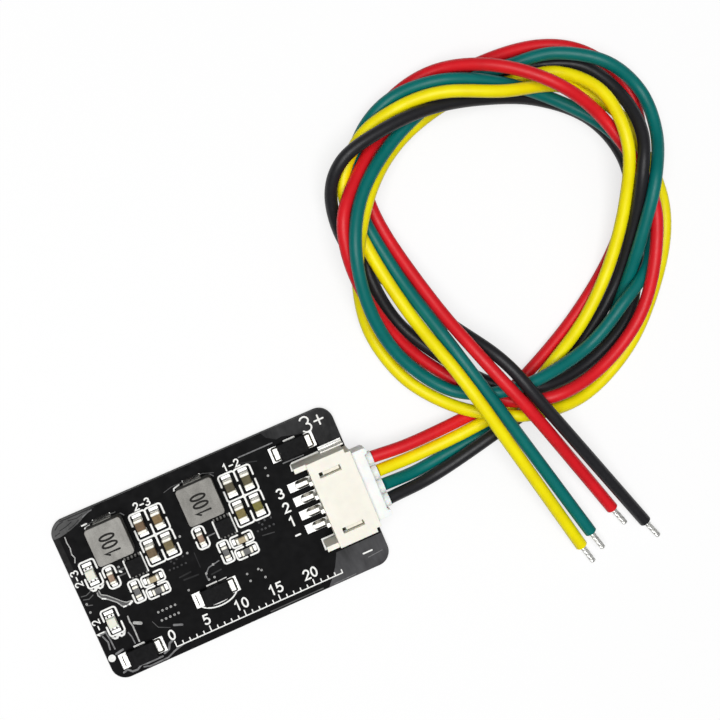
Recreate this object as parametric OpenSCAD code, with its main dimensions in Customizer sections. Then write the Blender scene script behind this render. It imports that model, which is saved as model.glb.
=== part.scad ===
// Active balancer board: a small circuit board that carries two balancing cells,
// a side-entry four-way header and the four-wire lead that is plugged into it.
// Millimetres. The board lies flat on z = 0 with its middle at the origin,
// x runs along the board towards the header, y runs across it and z is up.

/* [Board] */
// Length of the board, along its two cells
board_l = 40; // [39:0.5:44]
// Width of the board
board_w = 23; // [22.5:0.5:26]
// Thickness of the board
board_t = 1; // [0.8:0.1:1.6]
// Radius of the board's corners
board_corner_r = 2; // [1:0.25:3]
// Thickness of a pad, copper and tin together
pad_t = 0.05; // [0.03:0.01:0.1]
// How far a pad reaches past the end of its part
pad_toe = 0.55; // [0.4:0.05:0.6]
// How far solder runs out along a pad
solder_run = 0.25; // [0.15:0.05:0.35]

/* [Power inductors] */
// Size of an inductor along the board
inductor_l = 5; // [4:0.1:5.4]
// Size of an inductor across the board
inductor_w = 5.2; // [4:0.1:5.4]
// Height of an inductor's body
inductor_h = 3; // [2:0.1:4]
// Width of an inductor's terminal strip
terminal_w = 2.5; // [2:0.1:3.5]
// Thickness of an inductor's terminal strip
terminal_t = 0.15; // [0.1:0.05:0.3]

/* [Chip parts] */
// Length of a large chip capacitor
bulk_l = 2; // [1.6:0.1:2.2]
// Width of a large chip capacitor
bulk_w = 1.25; // [0.8:0.05:1.6]
// Height of a large chip capacitor
bulk_h = 1.25; // [0.8:0.05:1.6]
// Length of a small chip part
small_l = 1.6; // [1:0.1:1.8]
// Width of a small chip part
small_w = 0.8; // [0.5:0.05:0.9]
// Height of a small chip capacitor
small_cap_h = 0.8; // [0.5:0.05:0.9]
// Height of a chip resistor
resistor_h = 0.45; // [0.35:0.05:0.6]

/* [Controllers] */
// Side of a controller's square body
controller_side = 2.2; // [2:0.1:2.6]
// Height of a controller's body
controller_h = 0.75; // [0.6:0.05:1]
// Distance between a controller's pins
controller_pitch = 0.5; // [0.4:0.05:0.65]

/* [Diodes] */
// Length of a diode's body
diode_l = 4; // [3.5:0.1:4.4]
// Width of a diode's body
diode_w = 2.3; // [2:0.1:2.6]
// Height of a diode's body
diode_h = 1.1; // [0.9:0.1:1.6]

/* [Lamps] */
// Length of a lamp
lamp_l = 2; // [1.6:0.1:2.2]
// Width of a lamp
lamp_w = 1.25; // [0.8:0.05:1.3]
// Height of a lamp's clear top
lamp_top_h = 0.5; // [0.3:0.05:0.8]

/* [Connector] */
// Distance between neighbouring contacts
pin_pitch = 2; // [2:0.05:2.1]
// Depth of the header along the board
header_depth = 6; // [5.5:0.1:6.5]
// Height of the header above the board
header_h = 5.5; // [5:0.1:6]
// Width of the plug
plug_w = 9.7; // [9.4:0.1:10]
// Height of the plug
plug_h = 3.6; // [3.4:0.1:3.8]
// How far the plug stands out of the header
plug_out = 2.5; // [2:0.1:3.5]
// Gap round the plug inside the header
plug_gap = 0.05; // [0.03:0.01:0.15]

/* [Wires] */
// Outside diameter of a wire
wire_d = 1.7; // [1.2:0.05:1.8]
// Gap between wires that lie on each other
wire_gap = 0.05; // [0.03:0.01:0.1]
// Diameter of a tinned end
tip_d = 0.8; // [0.5:0.05:1]
// Length of a tinned end
tip_l = 3; // [2:0.5:6]

/* [Hidden] */
$fn = 32;
tiny = 0.01;

// Heights
board_top = board_t;
part_z = board_top + pad_t;

// The two cells
cell_inset = 6.9;
cell_pitch = 0.3175 * board_l;
cells = [0, 1];
cell_x = [for (c = cells) -board_l / 2 + cell_inset + c * cell_pitch];
cell_edge = 2.2;
cell_y = board_w / 2 - cell_edge - inductor_w / 2;
inductor_corner_r = 0.45;
terminal_h = 1.4;
terminal_toe = 0.35;
bulk_columns = [4.2, 6.6];
bulk_rows = [-0.1, -3.9];
bulk_end = 0.45;
small_end = 0.35;
end_lip = 0.03;

// Chip sizes: length, width, height, length of a metal end
bulk_size = [bulk_l, bulk_w, bulk_h, bulk_end];
small_cap_size = [small_l, small_w, small_cap_h, small_end];
resistor_size = [small_l, small_w, resistor_h, small_end];
lamp_size = [lamp_l, lamp_w, 0.35, 0.35];

// Places in a cell, from the middle of its inductor
input_spot = [-1.95, -4.9];
filter_spot = [2.9, -7.3];
set_spot = [0.3, -8];
sense_spot = [2.9, -9.05];
controller_spot = [1.5, -4.8];
controller_pins = 5;
controller_pin = [0.25, 0.15, 0.2];

// Lamps
lamp_x = -board_l / 2 + 2.65;
lamp_rows = [3.3, -3.7];
lamp_top_l = 1.3;

// Header
pin_count = 4;
pins = [0 : pin_count - 1];
pin_y = [for (i = pins) ((pin_count - 1) / 2 - i) * pin_pitch];
header_floor = 1;
header_side = 1.05;
header_back = 1;
header_w = plug_w + 2 * (plug_gap + header_side);
header_front_x = board_l / 2;
header_back_x = header_front_x - header_depth;
cavity_h = plug_h + 2 * plug_gap;
contact_z = board_top + header_floor + cavity_h / 2;
corner_step = [0.7, 0.55];
leg = [1.7, 0.7, 4.6];
slot = [3, 0.75];
slot_x = header_back_x + 2.6;
slot_y = 3.95;
pin_thick = 0.5;
pin_wide = 0.6;
pin_foot = 2.2;
pin_reach = 4.6;
pin_pad = [3.2, 1.25];
tab = [3.3, 0.5, 1.9];
tab_t = 0.25;
tab_x = header_front_x - 0.25 - tab[0] / 2;

// Diodes, one of them beside the header
diode_draft = 0.15;
diode_waist = 0.45;
diode_lead = [1.2, 1.5, 0.2];
diode_lead_out = 0.6;
diode_gap = 0.9;
diode_spots = [
    [-board_l / 2 + 2.6 + diode_l / 2, -board_w / 2 + 1.15 + diode_w / 2],
    [-3.4, -5.75],
    [header_back_x - 0.55, header_w / 2 + diode_gap + diode_w / 2],
];

// Plug
plug_nose = header_depth - header_back - 0.2;
plug_front_x = header_front_x - plug_nose;
plug_rear_x = header_front_x + plug_out;
lobe_l = 0.9;
lobe_d = 1.9;
channel = [1.5, 1.7];
channel_stop_x = plug_rear_x - 1.5;
barrel_d = 1.3;
ridge_r = 0.45;
notch_l = 0.55;
notch_depth = 0.8;
contact_box = [1.4, 1.6];
contact_front = 0.3;

// Wires: steps from the plug's rear face to the right and across, and how many wires lie underneath
tube_sides = 8;
tube_steps = 2;
rest_z = wire_d / 2 + wire_gap;
layer = wire_d + wire_gap;
red_route = [
    [5.5, 2.5, 1.4], [13.6, 2.5, 0.7], [19, 2.8, 0.25], [24, 4.5, 0.25], [32.5, 8.7, 0],
    [40.3, 14.3, 0], [46.7, 21.2, 0], [50.7, 28, 0], [51, 35, 0.4], [47.5, 41, 0.45],
    [41.7, 44.3, 0.2], [33.2, 45.1, 0.5], [24.7, 43.8, 0.9], [18, 41.3, 1.2], [13.8, 38.9, 2.25],
    [8.2, 33.2, 3.7], [7, 25.2, 2.8], [9.2, 16.2, 1.1], [13.4, 9, 0.5], [18.8, 3.1, 1.75],
    [25.4, 1, 3], [33.1, 1.9, 2.25], [40.4, 6.3, 2.4], [45.1, 13.5, 3.15], [47.5, 21, 2.9],
    [45.5, 31.3, 2.65], [40.6, 38.4, 4.1], [34.2, 43.8, 3.3], [27.6, 46.3, 1.35], [21, 45.3, 0.2],
    [15.7, 41.4, 0.15], [13.1, 36.4, 1.05], [13.1, 29.5, 0.95], [15.3, 18.5, 2.4], [17.9, 9.7, 4],
    [21.3, 0.5, 3.9], [25, -9.3, 1.45], [27.9, -17.5, 0],
];
yellow_route = [
    [5.9, 0.6, 0.95], [13.6, 0.9, 1.1], [21.7, 1.9, 1], [27.6, 4.8, 1.1], [34, 8.5, 0.8],
    [39.6, 14, 1.3], [44, 21, 2.55], [46.4, 28, 3.85], [46.3, 35.2, 2.95], [42.5, 40, 1.25],
    [36.3, 41.3, 0.6], [30.3, 42.1, 0.6], [24.3, 41.3, 0.75], [18.7, 39.2, 1.05], [13.6, 35.6, 2.45],
    [9.4, 30.2, 3], [7.1, 24.2, 1.35], [6.4, 17.8, 0.25], [8.1, 11, 0.15], [11.6, 5.9, 0.85],
    [16, 2.4, 1.95], [22, -0.4, 2], [30.4, -1.4, 0.2], [39, 2.6, 0], [45.9, 9.9, 0.15],
    [49.8, 16.8, 0], [49.9, 24.1, 0.85], [47.9, 32.4, 1.25], [42.2, 38.1, 1.5], [34, 40.4, 3.1],
    [26.3, 43.3, 3.25], [20.1, 43.6, 2.4], [14.2, 41.8, 2.6], [10, 36.7, 2.2], [10, 28.9, 2],
    [11.7, 18.6, 2.65], [14.5, 8, 4.35], [17.7, -4.5, 3.15], [22, -20.5, 0],
];
green_route = [
    [5.1, -1.6, 0.25], [12.1, -1, 0], [21.8, -0.3, 0], [31.5, 2.4, 0], [37.2, 6.2, 0.15],
    [40.6, 10.3, 1.1], [44.6, 16.7, 3.15], [48.1, 22.4, 4], [51.5, 27.7, 2.2], [52, 33.6, 1.4],
    [48.6, 38.9, 2.05], [42.8, 42.5, 1.5], [36.6, 43.3, 1.2], [31.8, 43.5, 1.25], [26, 42.8, 1.65],
    [18.6, 40.1, 2.25], [11.9, 35.4, 3.6], [8.1, 29.2, 4.3], [7, 21.3, 3.25], [8.5, 13.9, 1.85],
    [12.5, 7.5, 1.4], [17.2, 4.8, 2.35], [23.1, 3.9, 2.95], [32.1, 4.9, 1.8], [38.6, 8.5, 2.45],
    [44.4, 12.2, 1.75], [46.9, 18.8, 1.65], [47.7, 25.5, 1.55], [45.5, 31.5, 1.25], [40.2, 37.5, 1],
    [33.4, 42.2, 2.15], [26.5, 44.9, 2.65], [19.8, 45, 1.55], [14.1, 41.5, 1.6], [11.2, 34.9, 1.45],
    [12.3, 24.2, 1.75], [15, 12.5, 3.5], [17.5, 3.1, 3.35], [23.7, -19, 0.6],
];
black_route = [
    [6.8, -3, 0.7], [15.9, -1.2, 1], [23.5, 0.6, 1], [31.2, 4.5, 0.15], [38.8, 9.8, 0.05],
    [43.5, 16.5, 1.9], [46.8, 23.8, 3.95], [49, 28.9, 3.4], [49, 34.4, 1.75], [46.4, 39.4, 0.65],
    [41.6, 41.8, 0.05], [36, 42.9, 0], [30.5, 43.5, 0], [25.6, 42.9, 0], [18.7, 40.7, 0],
    [12.6, 35.6, 0], [10.2, 28.6, 0.75], [9.1, 24.1, 1.1], [11, 16.1, 0.45], [17.7, 6.4, 1.4],
    [23.7, 2.8, 2.05], [30.9, 2.5, 1.25], [39, 5.9, 0.9], [43.7, 12.2, 0], [45.6, 19.2, 1],
    [47, 26.3, 0.45], [44.9, 32.7, 0], [39.2, 37.7, 0.1], [31.6, 40.6, 1.35], [24, 42, 2.85],
    [16.9, 41.7, 3.65], [10.9, 40.1, 3.65], [8, 36, 2.25], [8.1, 29.1, 0.35], [11.7, 22.6, 0],
    [16.6, 14.7, 1.8], [20.5, 8.1, 3.65], [23.5, -0.2, 3.65], [31.5, -21.1, 0],
];
routes = [red_route, yellow_route, green_route, black_route];

// Colours
mask_black = [0.07, 0.07, 0.08];
tin = [0.82, 0.82, 0.8];
core_grey = [0.6, 0.58, 0.56];
ceramic_brown = [0.45, 0.34, 0.24];
ceramic_red = [0.55, 0.35, 0.28];
ceramic_tan = [0.7, 0.6, 0.45];
resistor_grey = [0.25, 0.25, 0.27];
mould_black = [0.05, 0.05, 0.06];
lamp_white = [0.93, 0.93, 0.9];
header_cream = [0.96, 0.93, 0.84];
plug_white = [0.95, 0.95, 0.94];
wire_colours = [[0.85, 0.12, 0.15], [0.98, 0.85, 0.05], [0, 0.4, 0.38], [0.1, 0.1, 0.11]];

// A place in a cell, and the small chip parts of a cell: place, turn, size
function in_cell(c, spot) = [cell_x[c] + spot[0], cell_y + spot[1]];
function bulk_spot(c, i) = in_cell(c, [bulk_columns[i % 2], bulk_rows[floor(i / 2)]]);
function small_chips(c) = [
    [in_cell(c, input_spot), 90, small_cap_size],
    [in_cell(c, filter_spot), 0, small_cap_size],
    [in_cell(c, set_spot), 90, resistor_size],
    [in_cell(c, sense_spot), 0, resistor_size],
];
bulk_chips = [for (c = cells, i = [0 : 3]) [bulk_spot(c, i), 90, bulk_size]];
lamps = [for (y = lamp_rows) [[lamp_x, y], 90, lamp_size]];
all_chips = concat(bulk_chips, small_chips(0), small_chips(1), lamps);

// A smooth curve through the points of a wire's route, kept off the floor
function curve(a, b, c, d, t) =
    0.5 * (2 * b + (c - a) * t + (2 * a - 5 * b + 4 * c - d) * t * t + (3 * b - a - 3 * c + d) * t * t * t);
function off_floor(p) = [p[0], p[1], max(p[2], wire_d / 2)];
function route_points(i) = concat(
    [[plug_rear_x, pin_y[i], contact_z]],
    [for (p = routes[i]) [plug_rear_x + p[0], p[1], rest_z + layer * p[2]]]
);
function beyond(points, i) =
    i < 0 ? 2 * points[0] - points[1]
    : i < len(points) ? points[i]
    : 2 * points[i - 1] - points[i - 2];
function centre_line(points) = [
    for (i = [0 : len(points) - 2], k = [0 : tube_steps - 1])
        off_floor(curve(beyond(points, i - 1), points[i], points[i + 1], beyond(points, i + 2), k / tube_steps)),
    points[len(points) - 1],
];
function unit(v) = v / norm(v);
function level(v) = unit([v[0], v[1], 0]);
function heading(line, i) =
    i == 0 ? [1, 0, 0]
    : i == len(line) - 1 ? level(line[i] - line[i - 1])
    : unit(line[i + 1] - line[i - 1]);
function ring(middle, ahead) =
    let (side = unit(cross(ahead, [0, 0, 1])), up = cross(side, ahead))
    [for (k = [0 : tube_sides - 1])
        middle + wire_d / 2 * (cos(360 * k / tube_sides) * side + sin(360 * k / tube_sides) * up)];

// A flat block with round upright corners, its middle over the origin
module round_block(l, w, h, r) {
    linear_extrude(h) {
        square([l - 2 * r, w], center = true);
        square([l, w - 2 * r], center = true);
        for (x = [-1, 1], y = [-1, 1])
            translate([x * (l / 2 - r), y * (w / 2 - r)])
                circle(r);
    }
}

// A box that stands on the origin's level
module block(size) {
    translate([-size[0] / 2, -size[1] / 2, 0])
        cube(size);
}

module on_board(spot, turn = 0, z = part_z) {
    translate([spot[0], spot[1], z])
        rotate(turn)
            children();
}

// A slope of solder that starts at x = 0
module slope(w, run, rise) {
    rotate([90, 0, 0])
        translate([0, 0, -w / 2])
            linear_extrude(w)
                polygon([[0, 0], [run, 0], [0, rise]]);
}

module both_ends() {
    children();
    mirror([1, 0, 0])
        children();
}

module chip_middle(size) {
    translate([0, 0, end_lip])
        block([size[0] - 2 * size[3], size[1] - 2 * end_lip, size[2] - 2 * end_lip]);
}

module chip_ends(size) {
    both_ends()
        translate([size[0] / 2 - size[3] / 2, 0, 0])
            block([size[3], size[1], size[2]]);
}

module chip_pads(size) {
    both_ends()
        translate([size[0] / 2 + pad_toe / 2 - size[3] / 2, 0, 0])
            block([size[3] + pad_toe, size[1], pad_t]);
}

module chip_slopes(size) {
    both_ends()
        translate([size[0] / 2, 0, 0])
            slope(size[1], solder_run, 0.7 * size[2]);
}

module pcb_board() {
    color(mask_black)
        round_block(board_l, board_w, board_t, board_corner_r);
}

module copper_pads() {
    color(tin) {
        for (chip = all_chips)
            on_board(chip[0], chip[1], board_top)
                chip_pads(chip[2]);
        for (c = cells) {
            on_board([cell_x[c], cell_y], 90, board_top)
                both_ends()
                    translate([inductor_w / 2 + terminal_t - 0.4, 0, 0])
                        block([0.8 + 2 * terminal_toe, terminal_w, pad_t]);
            on_board(in_cell(c, controller_spot), 90, board_top)
                both_ends()
                    for (i = [0 : controller_pins - 1])
                        translate([controller_side / 2 + 0.2, (i - 2) * controller_pitch, 0])
                            block([0.4, controller_pin[0], pad_t]);
        }
        for (spot = diode_spots)
            on_board(spot, 0, board_top)
                both_ends()
                    translate([diode_l / 2 + diode_lead_out - diode_lead[0] / 2 + pad_toe / 2, 0, 0])
                        block([diode_lead[0] + pad_toe, 2.1, pad_t]);
        for (y = pin_y)
            on_board([header_back_x - pin_pad[0] / 2, y], 0, board_top)
                block([pin_pad[0], pin_pad[1], pad_t]);
        for (s = [-1, 1])
            on_board([tab_x, s * (header_w / 2 + (tab[1] + 0.2) / 2)], 0, board_top)
                block([tab[0], tab[1] + 0.2, pad_t]);
    }
}

module solder_fillets() {
    color(tin) {
        for (chip = all_chips)
            on_board(chip[0], chip[1])
                chip_slopes(chip[2]);
        for (c = cells)
            on_board([cell_x[c], cell_y], 90)
                both_ends()
                    translate([inductor_w / 2 + terminal_t, 0, 0])
                        slope(terminal_w, solder_run, 0.5 * terminal_h);
        for (spot = diode_spots)
            on_board(spot)
                both_ends()
                    translate([diode_l / 2 + diode_lead_out, 0, 0])
                        slope(diode_lead[1], solder_run, diode_lead[2]);
    }
}

module inductor_core(c) {
    color(core_grey)
        on_board([cell_x[c], cell_y], 0, part_z + terminal_t)
            round_block(inductor_l, inductor_w, inductor_h, inductor_corner_r);
}

// Each terminal is a strip folded from the underside up the end of the core
module inductor_terminals(c) {
    color(tin)
        on_board([cell_x[c], cell_y], 90)
            both_ends() {
                translate([inductor_w / 2 - 0.4, 0, 0])
                    block([0.8, terminal_w, terminal_t]);
                translate([inductor_w / 2 + terminal_t / 2, 0, 0])
                    block([terminal_t, terminal_w, terminal_h]);
            }
}

module capacitor(c, i) {
    color(ceramic_brown)
        on_board(bulk_spot(c, i), 90)
            chip_middle(bulk_size);
}

module capacitor_ends(c) {
    color(tin)
        for (i = [0 : 3])
            on_board(bulk_spot(c, i), 90)
                chip_ends(bulk_size);
}

module input_capacitor(c) {
    color(ceramic_red)
        on_board(in_cell(c, input_spot), 90)
            chip_middle(small_cap_size);
}

module filter_capacitor(c) {
    color(ceramic_tan)
        on_board(in_cell(c, filter_spot))
            chip_middle(small_cap_size);
}

module set_resistor(c) {
    color(resistor_grey)
        on_board(in_cell(c, set_spot), 90)
            chip_middle(resistor_size);
}

module sense_resistor(c) {
    color(resistor_grey)
        on_board(in_cell(c, sense_spot))
            chip_middle(resistor_size);
}

module small_chip_ends(c) {
    color(tin)
        for (chip = small_chips(c))
            on_board(chip[0], chip[1])
                chip_ends(chip[2]);
}

module controller(c) {
    color(mould_black)
        on_board(in_cell(c, controller_spot))
            block([controller_side, controller_side, controller_h]);
}

module controller_pin_rows(c) {
    color(tin)
        on_board(in_cell(c, controller_spot), 90)
            both_ends()
                for (i = [0 : controller_pins - 1])
                    translate([controller_side / 2 + controller_pin[1] / 2, (i - 2) * controller_pitch, 0])
                        block([controller_pin[1], controller_pin[0], controller_pin[2]]);
}

module diode(i) {
    bottom = diode_l / 2 - diode_draft;
    color(mould_black)
        on_board(diode_spots[i], 0, part_z + diode_lead[2])
            rotate([90, 0, 0])
                translate([0, 0, -diode_w / 2])
                    linear_extrude(diode_w)
                        polygon([
                            [-bottom, 0], [bottom, 0],
                            [diode_l / 2, diode_waist], [bottom, diode_h],
                            [-bottom, diode_h], [-diode_l / 2, diode_waist],
                        ]);
}

module diode_leads(i) {
    color(tin)
        on_board(diode_spots[i])
            both_ends()
                translate([diode_l / 2 + diode_lead_out - diode_lead[0] / 2, 0, 0])
                    block(diode_lead);
}

module lamp_base(i) {
    color(lamp_white)
        on_board(lamps[i][0], 90)
            block([lamp_l - 2 * lamp_size[3], lamp_w, lamp_size[2]]);
}

module lamp_top(i) {
    color(lamp_white)
        on_board(lamps[i][0], 90, part_z + lamp_size[2])
            block([lamp_top_l, lamp_w, lamp_top_h]);
}

module lamp_ends(i) {
    color(tin)
        on_board(lamps[i][0], 90)
            chip_ends(lamp_size);
}

// The socket opens towards the board's edge, and each side wall runs on behind as a leg
module header_housing() {
    color(header_cream)
        difference() {
            union() {
                translate([header_back_x, -header_w / 2, board_top])
                    cube([header_depth, header_w, header_h]);
                for (s = [-1, 1])
                    translate([header_back_x - leg[0], s * (header_w / 2 - leg[1] / 2) - leg[1] / 2, board_top])
                        cube([leg[0] + tiny, leg[1], leg[2]]);
            }
            translate([header_back_x + header_back, -plug_w / 2 - plug_gap, contact_z - cavity_h / 2])
                cube([header_depth, plug_w + 2 * plug_gap, cavity_h]);
            for (s = [-1, 1]) {
                translate([slot_x - slot[0] / 2, s * slot_y - slot[1] / 2, contact_z])
                    cube([slot[0], slot[1], header_h]);
                translate([header_front_x, s * header_w / 2, board_top - 1])
                    block([2 * corner_step[0], 2 * corner_step[1], header_h + 2]);
            }
            for (y = pin_y)
                translate([header_back_x - 1, y - pin_wide / 2, contact_z - pin_thick / 2])
                    cube([header_back + 2, pin_wide, pin_thick]);
        }
}

// Each contact pin crosses the back wall, drops behind it and turns out along its pad
module header_pins() {
    low = part_z;
    high = contact_z - pin_thick / 2;
    color(tin)
        for (y = pin_y)
            translate([header_back_x, y + pin_wide / 2, 0])
                rotate([90, 0, 0])
                    linear_extrude(pin_wide)
                        polygon([
                            [-pin_foot, low], [0, low], [0, high], [pin_reach, high],
                            [pin_reach, high + pin_thick], [-pin_thick, high + pin_thick],
                            [-pin_thick, low + pin_thick], [-pin_foot, low + pin_thick],
                        ]);
}

module header_tabs() {
    color(tin)
        for (s = [0, 1])
            mirror([0, s, 0])
                translate([tab_x, header_w / 2, part_z]) {
                    translate([0, tab[1] / 2, 0])
                        block([tab[0], tab[1], tab_t]);
                    translate([0, tab_t / 2, 0])
                        block([tab[0], tab_t, tab[2]]);
                }
}

// The plug's rear ends in a round lobe for each wire, with a finger ridge on either side.
// Its nose has a notch under the near end of each of the header's slots.
module plug_housing() {
    color(plug_white)
        difference() {
            union() {
                translate([plug_front_x, -plug_w / 2, contact_z - plug_h / 2])
                    cube([plug_nose + plug_out - lobe_l, plug_w, plug_h]);
                for (y = pin_y)
                    translate([plug_rear_x - lobe_l - tiny, y, contact_z])
                        rotate([0, 90, 0])
                            cylinder(h = lobe_l + tiny, d = lobe_d);
                for (s = [-1, 1])
                    translate([plug_rear_x - lobe_l, s * (plug_w / 2 - ridge_r), contact_z - plug_h / 2])
                        cylinder(h = plug_h, r = ridge_r);
            }
            for (s = [-1, 1])
                translate([plug_front_x - 1, s * slot_y - slot[1] / 2, contact_z + plug_h / 2 - notch_depth])
                    cube([slot_x - slot[0] / 2 + notch_l - plug_front_x + 1, slot[1], notch_depth + 1]);
            for (y = pin_y) {
                translate([plug_front_x - 1, y - channel[0] / 2, contact_z - channel[1] / 2])
                    cube([channel_stop_x - plug_front_x + 1, channel[0], channel[1]]);
                translate([channel_stop_x - tiny, y, contact_z])
                    rotate([0, 90, 0])
                        cylinder(h = plug_rear_x - channel_stop_x + 1, d = barrel_d);
            }
        }
}

// Each contact is a box that grips the header's pin, with a crimped barrel for the wire
module plug_contacts() {
    front = plug_front_x + contact_front;
    color(tin)
        for (y = pin_y)
            difference() {
                union() {
                    translate([front, y - contact_box[0] / 2, contact_z - contact_box[1] / 2])
                        cube([channel_stop_x - front, contact_box[0], contact_box[1]]);
                    translate([channel_stop_x - tiny, y, contact_z])
                        rotate([0, 90, 0])
                            cylinder(h = plug_rear_x - channel_stop_x + tiny, d = barrel_d);
                }
                translate([front - 1, y - pin_wide / 2, contact_z - pin_thick / 2])
                    cube([header_back_x + pin_reach - front + 1, pin_wide, pin_thick]);
            }
}

module wire(i) {
    line = centre_line(route_points(i));
    last = len(line) - 1;
    n = tube_sides;
    color(wire_colours[i])
        polyhedron(
            points = [for (k = [0 : last]) each ring(line[k], heading(line, k))],
            faces = concat(
                [[for (k = [n - 1 : -1 : 0]) k], [for (k = [0 : n - 1]) last * n + k]],
                [for (r = [0 : last - 1], k = [0 : n - 1]) [r * n + k, r * n + (k + 1) % n, (r + 1) * n + k]],
                [for (r = [0 : last - 1], k = [0 : n - 1])
                    [r * n + (k + 1) % n, (r + 1) * n + (k + 1) % n, (r + 1) * n + k]]
            )
        );
}

// The tinned strands carry straight on from the cut end of the wire
module wire_tip(i) {
    points = route_points(i);
    last = len(points) - 1;
    ahead = level(points[last] - centre_line(points)[tube_steps * last - 1]);
    color(tin)
        translate(points[last])
            rotate([0, 90, atan2(ahead[1], ahead[0])])
                cylinder(h = tip_l, d = tip_d);
}

pcb_board();
copper_pads();
solder_fillets();
inductor_core(0);  // inductor_core_1
inductor_terminals(0);  // inductor_terminals_1
inductor_core(1);  // inductor_core_2
inductor_terminals(1);  // inductor_terminals_2
capacitor(0, 0);  // capacitor_1
capacitor(0, 1);  // capacitor_2
capacitor(0, 2);  // capacitor_3
capacitor(0, 3);  // capacitor_4
capacitor_ends(0);  // capacitor_ends_1
capacitor(1, 0);  // capacitor_5
capacitor(1, 1);  // capacitor_6
capacitor(1, 2);  // capacitor_7
capacitor(1, 3);  // capacitor_8
capacitor_ends(1);  // capacitor_ends_2
input_capacitor(0);  // input_capacitor_1
filter_capacitor(0);  // filter_capacitor_1
set_resistor(0);  // set_resistor_1
sense_resistor(0);  // sense_resistor_1
small_chip_ends(0);  // chip_ends_1
input_capacitor(1);  // input_capacitor_2
filter_capacitor(1);  // filter_capacitor_2
set_resistor(1);  // set_resistor_2
sense_resistor(1);  // sense_resistor_2
small_chip_ends(1);  // chip_ends_2
controller(0);  // controller_1
controller_pin_rows(0);  // controller_pins_1
controller(1);  // controller_2
controller_pin_rows(1);  // controller_pins_2
diode(0);  // diode_1
diode_leads(0);  // diode_leads_1
diode(1);  // diode_2
diode_leads(1);  // diode_leads_2
diode(2);  // diode_3
diode_leads(2);  // diode_leads_3
lamp_base(0);  // lamp_base_1
lamp_top(0);  // lamp_top_1
lamp_ends(0);  // lamp_ends_1
lamp_base(1);  // lamp_base_2
lamp_top(1);  // lamp_top_2
lamp_ends(1);  // lamp_ends_2
header_housing();
header_pins();
header_tabs();
plug_housing();
plug_contacts();
wire(0);  // wire_red
wire(1);  // wire_yellow
wire(2);  // wire_green
wire(3);  // wire_black
wire_tip(0);  // wire_tip_red
wire_tip(1);  // wire_tip_yellow
wire_tip(2);  // wire_tip_green
wire_tip(3);  // wire_tip_black
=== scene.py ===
"""Looks of the active balancer board: camera, wires, pieces, materials and light, in metres."""

import math

import bmesh
import bpy
from mathutils import Matrix, Vector


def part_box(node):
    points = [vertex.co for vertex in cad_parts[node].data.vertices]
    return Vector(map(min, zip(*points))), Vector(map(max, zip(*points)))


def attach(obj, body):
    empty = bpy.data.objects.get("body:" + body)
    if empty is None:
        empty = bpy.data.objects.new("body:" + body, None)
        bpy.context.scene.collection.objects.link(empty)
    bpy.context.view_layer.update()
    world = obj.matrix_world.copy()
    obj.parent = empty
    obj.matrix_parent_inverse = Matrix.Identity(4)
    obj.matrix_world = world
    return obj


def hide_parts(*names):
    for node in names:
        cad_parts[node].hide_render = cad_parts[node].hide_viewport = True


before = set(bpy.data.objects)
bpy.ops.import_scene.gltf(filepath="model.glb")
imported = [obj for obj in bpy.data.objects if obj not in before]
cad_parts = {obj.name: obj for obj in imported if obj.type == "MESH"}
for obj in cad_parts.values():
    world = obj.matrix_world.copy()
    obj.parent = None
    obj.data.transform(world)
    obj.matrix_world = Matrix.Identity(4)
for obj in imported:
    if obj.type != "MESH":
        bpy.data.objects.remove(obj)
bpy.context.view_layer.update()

MM = 0.001
BODY = "root"


def linear(red, green, blue):
    """A colour given as 0 to 255 on the screen, as a shader takes it."""
    parts = [v / 255 for v in (red, green, blue)]
    return [((v + 0.055) / 1.055) ** 2.4 if v > 0.04 else v / 12.92 for v in parts] + [1]


# Camera

CAMERA_AT = Vector((9.5, 36.8, 187.4)) * MM
CAMERA_AHEAD = Vector((0.0891, -0.1152, -0.9893)).normalized()
CAMERA_RIGHT = Vector((0.914, -0.3852, 0.1272))
SENSOR, FOCAL_PIXELS, PHOTO_PIXELS = 36, 1416.3, 720
LENS = FOCAL_PIXELS * SENSOR / PHOTO_PIXELS


def add_camera():
    """The photo's own view, fitted to the board's corners."""
    right = (CAMERA_RIGHT - CAMERA_AHEAD * CAMERA_RIGHT.dot(CAMERA_AHEAD)).normalized()
    up = right.cross(CAMERA_AHEAD)
    turn = Matrix((right, up, -CAMERA_AHEAD)).transposed()
    data = bpy.data.cameras.new("camera")
    data.sensor_width = SENSOR
    data.lens = LENS
    data.clip_start = 0.01
    made = bpy.data.objects.new("camera", data)
    bpy.context.scene.collection.objects.link(made)
    made.matrix_world = Matrix.Translation(CAMERA_AT) @ turn.to_4x4()
    bpy.context.scene.camera = made


add_camera()


# Materials


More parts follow.
